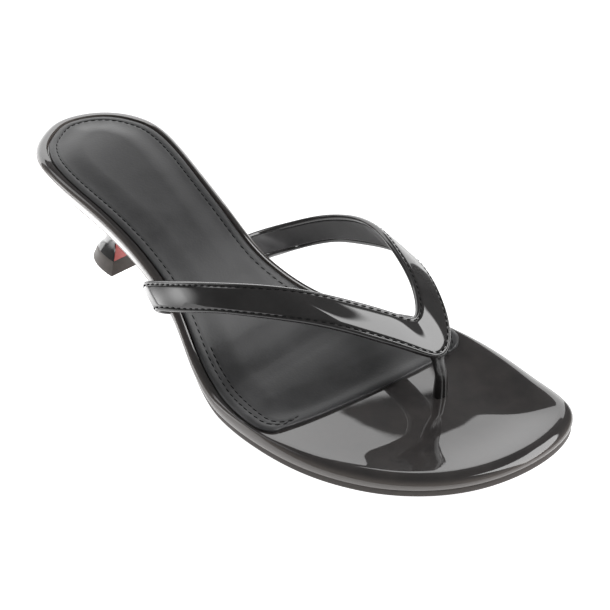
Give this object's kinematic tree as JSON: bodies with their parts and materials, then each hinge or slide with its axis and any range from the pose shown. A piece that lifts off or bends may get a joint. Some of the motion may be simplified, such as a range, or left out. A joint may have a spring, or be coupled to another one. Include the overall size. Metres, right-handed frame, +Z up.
{
  "type": "sandal",
  "caption": "Right thong mule sandal: V-shaped strap on a toe post, shallow arched sole with rounded rim, padded insole and low flared heel.",
  "frame": {"origin": "middle of the shoe's footprint box, on the floor", "axes": "+X from heel to toe, +Y to the inner (medial) side, +Z up"},
  "size_m": [0.24, 0.095, 0.0543],
  "materials": {
    "patent_leather": "high-gloss black patent, stitched edges and a matte lining on the strap",
    "matte_leather": "matte charcoal, softly padded",
    "sole_leather": "smooth dark matte",
    "coral_leather": "smooth coral, slight sheen",
    "heel_rubber": "brown-grey matte"
  },
  "bodies": {
    "root": {"outsole": "sole_leather", "insole_platform": "patent_leather", "insole_sock": "matte_leather", "thong_strap": "patent_leather", "toe_post": "patent_leather", "heel_block": "patent_leather", "heel_breast": "coral_leather", "heel_tip": "heel_rubber"}
  },
  "joints": []
}
